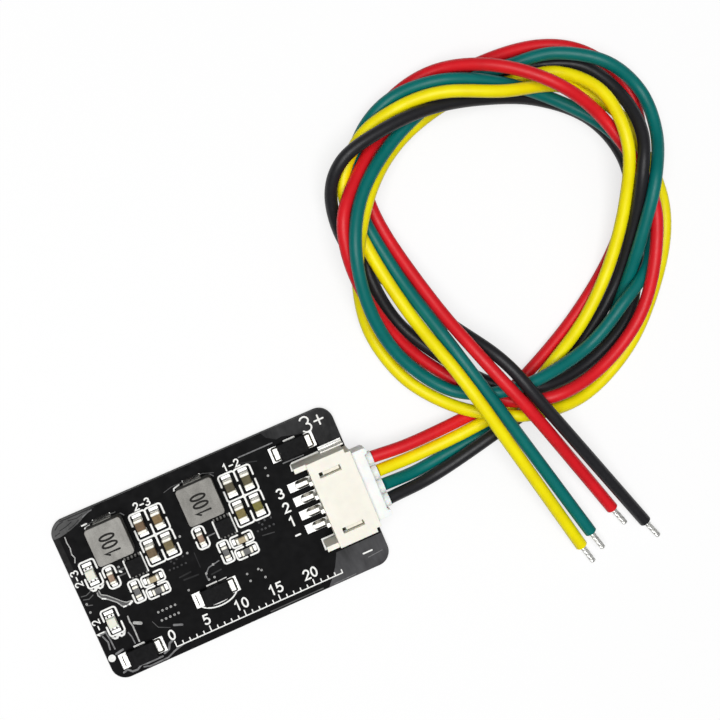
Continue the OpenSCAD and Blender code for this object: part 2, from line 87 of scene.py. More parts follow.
class Look:
    """A material, and short ways to add nodes to it."""

    def __init__(self, name, **values):
        self.material = bpy.data.materials.new(name)
        self.material.use_nodes = True
        self.tree = self.material.node_tree
        self.shader = self.tree.nodes["Principled BSDF"]
        for label, value in values.items():
            self.shader.inputs[label.replace("_", " ")].default_value = value
        self.place = self.node("TexCoord").outputs["Object"]

    def node(self, kind, inputs=None, **settings):
        """Adds a node. Its inputs get values or links."""
        made = self.tree.nodes.new("ShaderNode" + kind)
        for key, value in settings.items():
            setattr(made, key, value)
        for key, value in (inputs or {}).items():
            if isinstance(value, bpy.types.NodeSocket):
                self.tree.links.new(value, made.inputs[key])
            else:
                made.inputs[key].default_value = value
        return made

    def set(self, socket, output):
        self.tree.links.new(output, self.shader.inputs[socket])

    def noise(self, grain_mm, detail=3.0, stretch=None):
        """Cloudy values from 0 to 1."""
        place = self.place
        if stretch:
            place = self.node("Mapping", {"Vector": place, "Scale": stretch}).outputs[0]
        found = self.node("TexNoise", {"Vector": place, "Scale": 1 / (grain_mm * MM), "Detail": detail})
        return found.outputs["Fac"]

    def ramp(self, value, stops):
        """Turns values into colours."""
        made = self.node("ValToRGB", {"Fac": value})
        line = made.color_ramp.elements
        while len(line) < len(stops):
            line.new(0.5)
        for element, (at, colour) in zip(line, stops):
            element.position = at
            element.color = colour
        return made.outputs["Color"]

    def span(self, value, low, high):
        """Spreads cloudy values over a range."""
        made = self.node("MapRange", {"Value": value, "To Min": low, "To Max": high,
                                      "From Min": 0.3, "From Max": 0.7})
        return made.outputs["Result"]

    def colours(self, grain_mm, dark, light, **more):
        self.set("Base Color", self.ramp(self.noise(grain_mm, **more), [(0.3, dark), (0.7, light)]))
        return self

    def rough(self, grain_mm, low, high, **more):
        self.set("Roughness", self.span(self.noise(grain_mm, **more), low, high))
        return self

    def bump(self, grain_mm, depth_mm, strength=1.0, **more):
        height = self.noise(grain_mm, **more)
        made = self.node("Bump", {"Height": height, "Strength": strength, "Distance": depth_mm * MM})
        self.set("Normal", made.outputs["Normal"])
        return self


def shade(colour, factor):
    return [min(1.0, part * factor) for part in colour[:3]] + [1]


def plain_look(name, colour, grain_mm, spread, rough, bump, **values):
    """A moulded, fired or printed surface: blotchy colour, uneven gloss and a fine skin."""
    base = linear(*colour)
    look = Look(name, **{"Specular_IOR_Level": 0.12, **values})
    look.colours(grain_mm, shade(base, 1 - spread), shade(base, 1 + spread), detail=5.0)
    look.rough(grain_mm * 0.7, *rough)
    look.bump(*bump)
    return look.material


def wire_look(name, colour):
    """Silicone rubber: an even colour with a soft sheen."""
    base = linear(*colour)
    look = Look(name, Specular_IOR_Level=0.28)
    look.colours(2.4, shade(base, 0.93), shade(base, 1.06), detail=4.0)
    look.rough(0.5, 0.34, 0.46)
    look.bump(0.16, 0.012, 0.35, detail=4.0)
    return look.material


def metal_look(name, colour, rough, bump_mm, metallic=0.75):
    """Tin or solder: slightly blotchy, with an uneven gloss."""
    base = linear(*colour)
    look = Look(name, Metallic=metallic)
    look.colours(0.35, shade(base, 0.86), shade(base, 1.05), detail=5.0)
    look.rough(0.22, *rough, detail=4.0)
    look.bump(0.18, bump_mm, 0.6, detail=3.0)
    return look.material


def core_look(name, colour):
    """Pressed iron powder: fine grains, with broad streaks from the press."""
    base = linear(*colour)
    look = Look(name, Specular_IOR_Level=0.12)
    grains = look.noise(0.09, detail=3.0)
    streaks = look.noise(0.9, detail=4.0, stretch=(1.0, 0.35, 1.0))
    both = look.node("Math", {0: grains, 1: streaks}, operation="ADD")
    half = look.node("Math", {0: both.outputs[0], 1: 0.5}, operation="MULTIPLY")
    look.set("Base Color", look.ramp(half.outputs[0], [(0.34, shade(base, 0.72)), (0.66, shade(base, 1.25))]))
    look.rough(0.2, 0.6, 0.85)
    look.bump(0.12, 0.025, 0.7, detail=4.0)
    return look.material


def edge_look():
    """The cut side of the board: pressed layers of glass cloth and resin."""
    look = Look("laminate_edge", Specular_IOR_Level=0.3)
    layers = look.noise(0.9, detail=6.0, stretch=(0.4, 0.4, 7.0))
    look.set("Base Color", look.ramp(layers, [(0.25, linear(10, 10, 10)), (0.55, linear(22, 22, 21)),
                                              (0.8, linear(40, 39, 35))]))
    look.rough(0.2, 0.55, 0.8)
    look.bump(0.12, 0.02, 0.7, detail=5.0, stretch=(0.5, 0.5, 4.0))
    return look.material


def weave_look(name, dark, light):
    """Paler solder mask with a faint trace of the glass cloth: real in the paler lines and covered vias, a
    painted reflection in the pale patches at the board's corners.
    """
    look = Look(name, Specular_IOR_Level=0.08)
    cloth = look.noise(0.5, detail=2.0, stretch=(1.0, 0.25, 1.0))
    clouds = look.noise(4.0, detail=5.0, stretch=(1.0, 0.6, 1.0))
    both = look.node("Math", {0: cloth, 1: 0.25, 2: clouds}, operation="MULTIPLY_ADD")
    look.set("Base Color", look.ramp(both.outputs[0], [(0.42, linear(*dark)), (0.8, linear(*light))]))
    look.rough(0.6, 0.4, 0.55)
    look.bump(0.35, 0.006, 0.5, detail=2.0, stretch=(1.0, 0.25, 1.0))
    return look.material


WIRE_COLOURS = {"red": (222, 27, 37), "yellow": (255, 236, 2), "green": (0, 110, 106), "black": (34, 34, 37)}
LOOKS = {
    "mask": plain_look("solder_mask", (16, 16, 17), 1.6, 0.25, (0.45, 0.6), (0.25, 0.006, 0.6),
                       Specular_IOR_Level=0.04),
    # Paler mask: real in the lines where copper is missing, a painted reflection where the board's top shows
    # at its upper left corner.
    "weave": weave_look("mask_over_laminate_and_sheen", (62, 62, 62), (102, 102, 102)),
    # Paler mask: real over covered vias, a painted reflection in the lower right corner patch.
    "glass": weave_look("mask_over_vias_and_sheen", (50, 50, 51), (82, 82, 84)),
    # Paler mask: real in faint lines, a painted reflection in the upper right corner patch and in the streaks
    # near the upper left corner.
    "dim": weave_look("mask_lines_and_sheen", (29, 29, 30), (58, 58, 59)),
    # A slightly paler tone along the board's left edge.
    "shade": weave_look("mask_left_margin_tone", (13, 13, 13), (30, 30, 30)),
    "track": plain_look("bare_track", (176, 176, 174), 0.35, 0.3, (0.5, 0.7), (0.15, 0.008, 0.6)),
    "faint": plain_look("mask_over_track", (122, 122, 123), 0.5, 0.3, (0.5, 0.7), (0.15, 0.008, 0.6)),
    "edge": edge_look(),
    "pads": metal_look("tinned_copper", (252, 252, 248), (0.4, 0.55), 0.006, 0.25),
    "solder": metal_look("solder", (205, 204, 199), (0.16, 0.28), 0.006, 0.95),
    # Darker than the fillets' solder: a painted dark reflection.
    "joint": metal_look("solder_joint_painted_reflection", (150, 148, 142), (0.14, 0.26), 0.005, 0.95),
    "tin": metal_look("tinned_metal", (244, 243, 237), (0.3, 0.45), 0.005, 0.4),
    # Dark grey tin for the inductors' terminals: painted shade.
    "fold": metal_look("folded_tin_painted_shade", (138, 137, 132), (0.45, 0.6), 0.006, 0.3),
    "dull_pin": metal_look("dull_tin", (104, 103, 100), (0.45, 0.6), 0.006, 0.3),
    "chip_tin": metal_look("chip_end_tin", (243, 240, 227), (0.42, 0.6), 0.01, 0.25),
    "strands": metal_look("tinned_strands", (232, 232, 228), (0.2, 0.36), 0.008, 0.75),
    "core_1": core_look("core_grey_1", (160, 158, 153)),
    "core_2": core_look("core_grey_2", (148, 146, 141)),
    # The cores' sides, darker than their tops: painted shade.
    "core_side": core_look("core_side", (78, 77, 74)),
    # A dark plate in the slots' hollows: painted shade.
    "hollow": plain_look("hollow_painted_shade", (58, 54, 44), 0.3, 0.3, (0.7, 0.9), (0.1, 0.01, 0.5),
                         Specular_IOR_Level=0.05),
    # Dark strips along the slots' gaps: painted shadow.
    "gap": plain_look("slot_gap_painted_shadow", (112, 108, 84), 0.3, 0.25, (0.7, 0.9), (0.1, 0.01, 0.5),
                      Specular_IOR_Level=0.05),
    # A rib greyer than the plug: painted shade.
    "rib": plain_look("plug_rib_painted_shade", (232, 229, 216), 0.5, 0.06, (0.4, 0.55), (0.2, 0.008, 0.5)),
    "mark": plain_look("dark_mark", (40, 39, 38), 0.2, 0.3, (0.6, 0.85), (0.1, 0.01, 0.5)),
    "red_cap": plain_look("ceramic_red", (160, 135, 116), 0.4, 0.16, (0.5, 0.7), (0.1, 0.008, 0.5)),
    "tan_cap": plain_look("ceramic_tan", (182, 167, 137), 0.4, 0.14, (0.5, 0.7), (0.1, 0.008, 0.5)),
    "glaze": plain_look("resistor_glaze", (108, 108, 108), 0.5, 0.2, (0.3, 0.45), (0.12, 0.006, 0.5)),
    "alumina": plain_look("alumina", (222, 221, 214), 0.3, 0.06, (0.6, 0.8), (0.1, 0.008, 0.5)),
    "mould": plain_look("mould_black", (19, 19, 20), 0.5, 0.2, (0.5, 0.68), (0.09, 0.012, 0.6),
                        Specular_IOR_Level=0.08),
    "band": plain_look("mould_band", (26, 26, 27), 0.3, 0.15, (0.6, 0.75), (0.09, 0.008, 0.5),
                       Specular_IOR_Level=0.08),
    "lamp_base": plain_look("lamp_carrier", (236, 235, 226), 0.5, 0.04, (0.45, 0.6), (0.1, 0.005, 0.4)),
    "lamp_top": plain_look("lamp_resin", (234, 235, 221), 0.7, 0.05, (0.2, 0.3), (0.3, 0.006, 0.4),
                           Subsurface_Weight=0.15, Subsurface_Scale=0.0003),
    "header": plain_look("header_nylon", (249, 245, 233), 1.8, 0.03, (0.42, 0.55), (0.22, 0.008, 0.5),
                         Specular_IOR_Level=0.08, Subsurface_Weight=0.12, Subsurface_Scale=0.0005),
    "plug": plain_look("plug_nylon", (246, 246, 244), 1.8, 0.03, (0.3, 0.42), (0.3, 0.008, 0.5),
                       Specular_IOR_Level=0.1, Subsurface_Weight=0.25, Subsurface_Scale=0.0008),
    "print": plain_look("board_print", (246, 246, 243), 0.3, 0.08, (0.55, 0.75), (0.12, 0.006, 0.6)),
}
CAP_BROWNS = [(120, 100, 79), (134, 113, 80), (116, 100, 78), (120, 109, 80),
              (96, 91, 75), (101, 95, 72), (131, 119, 77), (126, 120, 68)]
for number, brown in enumerate(CAP_BROWNS, 1):
    LOOKS["cap_%d" % number] = plain_look("ceramic_%d" % number, brown, 0.35, 0.2, (0.42, 0.62),
                                          (0.1, 0.01, 0.5), Specular_IOR_Level=0.05)
for colour, value in WIRE_COLOURS.items():
    LOOKS[colour] = wire_look("silicone_" + colour, value)


# Pieces


def link(made, look, nodes=()):
    """Puts an object on the board: its material and the solids that it stands for."""
    bpy.context.scene.collection.objects.link(made)
    for name in [look] if isinstance(look, str) else look:
        made.data.materials.append(LOOKS[name])
    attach(made, BODY)
    if nodes:
        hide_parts(*nodes)
    if made.type == "MESH":
        made.modifiers.new("flat_faces_stay_flat", "WEIGHTED_NORMAL").keep_sharp = True
    return made


def mesh_of(name, bm, sharp):
    """Ends a mesh made in millimetres. Edges past the angle stay sharp."""
    bmesh.ops.recalc_face_normals(bm, faces=bm.faces)
    bmesh.ops.scale(bm, vec=(MM, MM, MM), verts=bm.verts)
    mesh = bpy.data.meshes.new(name)
    bm.to_mesh(mesh)
    bm.free()
    mesh.shade_smooth()
    mesh.set_sharp_from_angle(angle=math.radians(sharp))
    return mesh


def place(name, bm, look, slot, nodes=(), sharp=35):
    """Ends a mesh made in millimetres and puts it on the board."""
    return link(bpy.data.objects.new(name, mesh_of(name, bm, sharp)), look, nodes)


def solid_of(node):
    """A CAD solid's mesh in millimetres, with its corners welded and its flat faces whole."""
    bm = bmesh.new()
    bm.from_mesh(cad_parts[node].data)
    bmesh.ops.scale(bm, vec=(1 / MM,) * 3, verts=bm.verts)
    bmesh.ops.remove_doubles(bm, verts=bm.verts, dist=1e-4)
    bmesh.ops.dissolve_limit(bm, angle_limit=math.radians(1), verts=bm.verts, edges=bm.edges)
    return bm


def squared(bm, cuts):
    """Cuts the flat faces that face along an axis, so that none of them has a hole in it."""
    bm.normal_update()
    for facing, axis, where in cuts:
        at, normal = Vector(), Vector()
        at[axis], normal[axis] = where, 1
        faces = [f for f in bm.faces if abs(f.normal[facing]) > 0.9]
        geom = faces + list({e for f in faces for e in f.edges}) + list({v for f in faces for v in f.verts})
        bmesh.ops.bisect_plane(bm, geom=geom, dist=1e-3, plane_co=at, plane_no=normal)
    slanted = []
    for edge in bm.edges:
        run = edge.verts[1].co - edge.verts[0].co
        flat = len(edge.link_faces) == 2 and edge.calc_face_angle() < 0.01
        if flat and sum(abs(c) > 1e-3 for c in run) > 1:
            slanted.append(edge)
    bmesh.ops.dissolve_edges(bm, edges=slanted, use_verts=True)
    return bm


def soften(bm, width, segments=3, angle=30):
    """Rounds every edge past the angle."""
    edges = [e for e in bm.edges if len(e.link_faces) == 2 and e.calc_face_angle() > math.radians(angle)]
    bmesh.ops.bevel(bm, geom=edges, offset=width, segments=segments, profile=0.5,
                    affect="EDGES", clamp_overlap=True)
    bmesh.ops.dissolve_degenerate(bm, dist=1e-4, edges=bm.edges)
    return bm


def rounded(node, width, look, slot, segments=3, cuts=()):
    """A CAD solid with softened edges, in the solid's place."""
    return place(node + "_fine", soften(squared(solid_of(node), cuts), width, segments), look, slot, [node])


# Wires: steps from the plug's rear face to the right and across, and how many wires lie underneath

PLUG_REAR_X, CONTACT_Z = 22.5, 3.85
WIRE_D, REST_Z, LAYER = 1.7, 0.9, 1.75
CURVE_STEPS = 10
PIN_Y = {"red": 3, "yellow": 1, "green": -1, "black": -3}
ROUTES = {
    "red": [
        (5.5, 2.5, 1.4), (13.6, 2.5, 0.7), (19, 2.8, 0.25), (24, 4.5, 0.25), (32.5, 8.7, 0),
        (40.3, 14.3, 0), (46.7, 21.2, 0), (50.7, 28, 0), (51, 35, 0.4), (47.5, 41, 0.45),
        (41.7, 44.3, 0.2), (33.2, 45.1, 0.5), (24.7, 43.8, 0.9), (18, 41.3, 1.2), (13.8, 38.9, 2.25),
        (8.2, 33.2, 3.7), (7, 25.2, 2.8), (9.2, 16.2, 1.1), (13.4, 9, 0.5), (18.8, 3.1, 1.75),
        (25.4, 1, 3), (33.1, 1.9, 2.25), (40.4, 6.3, 2.4), (45.1, 13.5, 3.15), (47.5, 21, 2.9),
        (45.5, 31.3, 2.65), (40.6, 38.4, 4.1), (34.2, 43.8, 3.3), (27.6, 46.3, 1.35), (21, 45.3, 0.2),
        (15.7, 41.4, 0.15), (13.1, 36.4, 1.05), (13.1, 29.5, 0.95), (15.3, 18.5, 2.4), (17.9, 9.7, 4),
        (21.3, 0.5, 3.9), (25, -9.3, 1.45), (27.9, -17.5, 0),
    ],
    "yellow": [
        (5.9, 0.6, 0.95), (13.6, 0.9, 1.1), (21.7, 1.9, 1), (27.6, 4.8, 1.1), (34, 8.5, 0.8),
        (39.6, 14, 1.3), (44, 21, 2.55), (46.4, 28, 3.85), (46.3, 35.2, 2.95), (42.5, 40, 1.25),
        (36.3, 41.3, 0.6), (30.3, 42.1, 0.6), (24.3, 41.3, 0.75), (18.7, 39.2, 1.05), (13.6, 35.6, 2.45),
        (9.4, 30.2, 3), (7.1, 24.2, 1.35), (6.4, 17.8, 0.25), (8.1, 11, 0.15), (11.6, 5.9, 0.85),
        (16, 2.4, 1.95), (22, -0.4, 2), (30.4, -1.4, 0.2), (39, 2.6, 0), (45.9, 9.9, 0.15),
        (49.8, 16.8, 0), (49.9, 24.1, 0.85), (47.9, 32.4, 1.25), (42.2, 38.1, 1.5), (34, 40.4, 3.1),
        (26.3, 43.3, 3.25), (20.1, 43.6, 2.4), (14.2, 41.8, 2.6), (10, 36.7, 2.2), (10, 28.9, 2),
        (11.7, 18.6, 2.65), (14.5, 8, 4.35), (17.7, -4.5, 3.15), (22, -20.5, 0),
    ],
    "green": [
        (5.1, -1.6, 0.25), (12.1, -1, 0), (21.8, -0.3, 0), (31.5, 2.4, 0), (37.2, 6.2, 0.15),
        (40.6, 10.3, 1.1), (44.6, 16.7, 3.15), (48.1, 22.4, 4), (51.5, 27.7, 2.2), (52, 33.6, 1.4),
        (48.6, 38.9, 2.05), (42.8, 42.5, 1.5), (36.6, 43.3, 1.2), (31.8, 43.5, 1.25), (26, 42.8, 1.65),
        (18.6, 40.1, 2.25), (11.9, 35.4, 3.6), (8.1, 29.2, 4.3), (7, 21.3, 3.25), (8.5, 13.9, 1.85),
        (12.5, 7.5, 1.4), (17.2, 4.8, 2.35), (23.1, 3.9, 2.95), (32.1, 4.9, 1.8), (38.6, 8.5, 2.45),
        (44.4, 12.2, 1.75), (46.9, 18.8, 1.65), (47.7, 25.5, 1.55), (45.5, 31.5, 1.25), (40.2, 37.5, 1),
        (33.4, 42.2, 2.15), (26.5, 44.9, 2.65), (19.8, 45, 1.55), (14.1, 41.5, 1.6), (11.2, 34.9, 1.45),
        (12.3, 24.2, 1.75), (15, 12.5, 3.5), (17.5, 3.1, 3.35), (23.7, -19, 0.6),
    ],
    "black": [
        (6.8, -3, 0.7), (15.9, -1.2, 1), (23.5, 0.6, 1), (31.2, 4.5, 0.15), (38.8, 9.8, 0.05),
        (43.5, 16.5, 1.9), (46.8, 23.8, 3.95), (49, 28.9, 3.4), (49, 34.4, 1.75), (46.4, 39.4, 0.65),
        (41.6, 41.8, 0.05), (36, 42.9, 0), (30.5, 43.5, 0), (25.6, 42.9, 0), (18.7, 40.7, 0),
        (12.6, 35.6, 0), (10.2, 28.6, 0.75), (9.1, 24.1, 1.1), (11, 16.1, 0.45), (17.7, 6.4, 1.4),
        (23.7, 2.8, 2.05), (30.9, 2.5, 1.25), (39, 5.9, 0.9), (43.7, 12.2, 0), (45.6, 19.2, 1),
        (47, 26.3, 0.45), (44.9, 32.7, 0), (39.2, 37.7, 0.1), (31.6, 40.6, 1.35), (24, 42, 2.85),
        (16.9, 41.7, 3.65), (10.9, 40.1, 3.65), (8, 36, 2.25), (8.1, 29.1, 0.35), (11.7, 22.6, 0),
        (16.6, 14.7, 1.8), (20.5, 8.1, 3.65), (23.5, -0.2, 3.65), (31.5, -21.1, 0),
    ],
}


def centre_line(colour):
    """The smooth curve through a route's points, kept off the floor, in millimetres."""
    points = [Vector((PLUG_REAR_X, PIN_Y[colour], CONTACT_Z))]
    points += [Vector((PLUG_REAR_X + x, y, REST_Z + LAYER * level)) for x, y, level in ROUTES[colour]]
    ends = [2 * points[0] - points[1]] + points + [2 * points[-1] - points[-2]]
    line = []
    for a, b, c, d in zip(ends, ends[1:], ends[2:], ends[3:]):
        for step in range(CURVE_STEPS):
            t = step / CURVE_STEPS
            square, cube = 2 * a - 5 * b + 4 * c - d, 3 * b - a - 3 * c + d
            p = 0.5 * (2 * b + (c - a) * t + square * t * t + cube * t ** 3)
            line.append(Vector((p.x, p.y, max(p.z, WIRE_D / 2))))
    return line + [points[-1]]


def add_tip(colour):
    """The bare end: strands twisted together and tinned, straight on from the cut sleeve."""
    node = "wire_tip_" + colour
    start = centre_line(colour)[-1]
    steps = [v.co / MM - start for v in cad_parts[node].data.vertices]
    length = max(step.to_2d().length for step in steps)
    outer = [step for step in steps if step.to_2d().length > 0.9 * length]
    ahead = sum(outer, Vector()) / len(outer)
    ahead = Vector((ahead.x, ahead.y, 0)).normalized()
    reach = max(step.dot(ahead) for step in steps)
    radius = max(abs(step.z) for step in steps)
    side, up = ahead.cross(Vector((0, 0, 1))), Vector((0, 0, 1))
    lobes, around, rings, twist = 7, 56, 40, 1.1 * math.pi
    shoulder, nose = 0.9, 0.104
    bm = bmesh.new()
    loops = []
    for r in range(rings + 1):
        t = r / rings
        taper = 1 if t < shoulder else math.sqrt(max(0.05, 1 - ((t - shoulder) / nose) ** 2))
        loop = []
        for k in range(around):
            angle = 2 * math.pi * k / around
            strand = abs(math.sin(lobes * (angle - twist * t) / 2))
            size = radius * taper * (0.8 + 0.2 * strand)
            at = start + ahead * reach * t + side * size * math.cos(angle) + up * size * math.sin(angle)
            loop.append(bm.verts.new(at))
        loops.append(loop)
    for one, two in zip(loops, loops[1:]):
        for k in range(around):
            bm.faces.new((one[k], one[(k + 1) % around], two[(k + 1) % around], two[k]))
    bm.faces.new(loops[0])
    bm.faces.new(loops[-1])
    return place("tip_" + colour, bm, "strands", "tinned_metal", [node], 60)


def add_wire(colour, carried):
    """One wire of the lead, a tube along its centre line. The pieces that it carries are not used."""
    data = bpy.data.curves.new("lead_" + colour, "CURVE")
    data.dimensions = "3D"
    data.bevel_depth = WIRE_D / 2 * MM
    data.bevel_resolution = 6
    data.use_fill_caps = True
    data.twist_mode = "MINIMUM"
    spline = data.splines.new("POLY")
    line = centre_line(colour)
    spline.points.add(len(line) - 1)
    for point, at in zip(spline.points, line):
        point.co = (*(at * MM), 1)
    spline.use_smooth = True
    made = link(bpy.data.objects.new("lead_" + colour, data), colour, ["wire_" + colour])
    return made


plug = rounded("plug_housing", 0.12, "plug", "plug_white")
contacts = rounded("plug_contacts", 0.04, "tin", "tinned_metal", 2)
for colour in PIN_Y:
    shared = [plug, contacts] if colour == "red" else []
    add_wire(colour, [add_tip(colour)] + shared)


# Board


def prism(bm, loop, low, high):
    """A flat plate with the outline given by the loop."""
    under = [bm.verts.new((x, y, low)) for x, y in loop]
    over = [bm.verts.new((x, y, high)) for x, y in loop]
    bm.faces.new(over)
    bm.faces.new(under[::-1])
    for k in range(len(loop)):
        n = (k + 1) % len(loop)
        bm.faces.new((under[k], under[n], over[n], over[k]))


def band(bm, outer, inner, low, high):
    """A flat ring between two loops with as many points each."""
    rows = [[bm.verts.new((x, y, z)) for x, y in loop] for loop, z in
            ((outer, low), (outer, high), (inner, high), (inner, low))]
    for k in range(len(outer)):
        n = (k + 1) % len(outer)
        for one, two in zip(rows, rows[1:] + rows[:1]):
            bm.faces.new((one[k], one[n], two[n], two[k]))


def arc(x, y, rx, ry, start, end, steps=8):
    """Points along part of an ellipse, with the angles in degrees."""
    angles = [math.radians(start + (end - start) * k / steps) for k in range(steps + 1)]
    return [(x + rx * math.cos(a), y + ry * math.sin(a)) for a in angles]


def round_box(x, y, l, w, r, steps=5):
    """The outline of a box with round corners, about its middle."""
    loop = []
    for cx, cy, start in ((1, 1, 0), (-1, 1, 90), (-1, -1, 180), (1, -1, 270)):
        loop += arc(x + cx * (l / 2 - r), y + cy * (w / 2 - r), r, r, start, start + 90, steps)
    return loop


def sides_of(points, half):
    """The points moved to the left and to the right of an open line by half its width."""
    left, right = [], []
    for k, here in enumerate(points):
        before = Vector(points[max(k - 1, 0)])
        after = Vector(points[min(k + 1, len(points) - 1)])
        one = (Vector(here) - before).normalized() if k else (after - Vector(here)).normalized()
        two = (after - Vector(here)).normalized() if k < len(points) - 1 else one
        ahead = (one + two).normalized()
        reach = half / max(0.5, ahead.dot(one))
        normal = Vector((-ahead.y, ahead.x)) * reach
        left.append(tuple(Vector(here) + normal))
        right.append(tuple(Vector(here) - normal))
    return left, right


def stroke(bm, points, width, low, high):
    """A printed line with round ends."""
    half = width / 2
    left, right = sides_of(points, half)
    loop = list(right)
    for end, start in ((points[-1], right[-1]), (points[0], left[0])):
        angle = math.degrees(math.atan2(start[1] - end[1], start[0] - end[0]))
        loop += arc(*end, half, half, angle, angle + 180, 6)[1:-1]
        if end == points[-1]:
            loop += left[::-1]
    prism(bm, loop, low, high)


# The mask ends MARGIN from the board's edge. Flat plates start SINK inside the board.
BOARD_L, BOARD_W, BOARD_R, TOP = 40, 23, 2, 1.0
MARGIN, SINK = 0.08, 0.01
CELLS = (-13.1, -0.4)
PATCH_Z = TOP + 0.01
POUR_Z = TOP + 0.02
TRACK_RISE, LINE_STEP = 0.012, 0.001
PRINT_Z = POUR_Z + 0.015
SLOT_Y = 3.95


def add_board():
    """The bare board, mask over laminate on its faces and cut layers round its sides. Where its top shows at
    the upper left corner, the paler grey is painted reflection.
    """
    bm = soften(solid_of("pcb_board"), 0.07, 2)
    bm.normal_update()
    for face in bm.faces:
        face.material_index = 0 if abs(face.normal.z) > 0.9 else 1
    place("board_body", bm, ["weave", "edge"], "solder_mask", ["pcb_board"])


def add_pour():
    """Copper under the mask covers most of the board and stops short of its corners. The paler board top at
    the upper left and the patches at the upper and lower right are painted reflection.
    """
    x, y, r = BOARD_L / 2 - MARGIN, BOARD_W / 2 - MARGIN, BOARD_R - MARGIN
    middle_x, middle_y = BOARD_L / 2 - BOARD_R, BOARD_W / 2 - BOARD_R
    loop = [(-13.9, y), (-14.2, 11.05), (-15.4, 10.45), (-16.1, 10.1), (-17.3, 9.7), (-18.4, 9.45)]
    loop += [(-19.2, 9.3), (-19.15, 5.0), (-19.35, 2.5), (-x, 2.3), (-x, -9.6)]
    loop += arc(-middle_x, -middle_y, r, r, 185, 270) + [(10.6, -y), (11.6, -10.3), (12.4, -9.2)]
    loop += [(13.1, -7.9), (13.3, -7.45), (x, -7.45), (x, 6.55), (16.9, 6.75), (16.6, 8.8), (13.9, 9.55)]
    loop += [(12.7, 9.9), (11.9, 9.8), (11.3, 10.2), (10.7, 10.6), (10.3, y)]
    bm = bmesh.new()
    prism(bm, loop, TOP - SINK, POUR_Z)
    place("board_mask", bm, "mask", "solder_mask")
    upper = arc(middle_x, middle_y, r, r, 90, 0)
    lower = arc(middle_x, -middle_y, r, r, 0, -90)
    # Paler patches: painted reflection at the upper and lower right corners, and a slightly paler tone along
    # the left edge.
    for name, look, loop in (
        ("board_sheen_upper_right", "dim", [(9.5, y)] + upper + [(x, 6.0), (12.5, 6.0), (10.5, 9.0)]),
        ("board_sheen_lower_right", "glass", [(12.8, -7.3), (x, -7.3)] + lower + [(10.3, -y), (11.0, -10.3)]),
        ("board_margin", "shade", [(-x, 9.35), (-19.0, 9.35), (-19.1, 5.0), (-19.3, 2.5), (-x, 2.2)]),
    ):
        bm = bmesh.new()
        prism(bm, loop, TOP - SINK, PATCH_Z)
        place(name, bm, look, "solder_mask")


def add_lines(name, look, rise, lines):
    """Flat lines in the mask. Lines that meet lie at slightly different heights."""
    bm = bmesh.new()
    for k, (points, width) in enumerate(lines):
        stroke(bm, points, width, TOP, POUR_Z + rise - LINE_STEP * (k % 4))
    place(name, bm, look, "solder_mask")


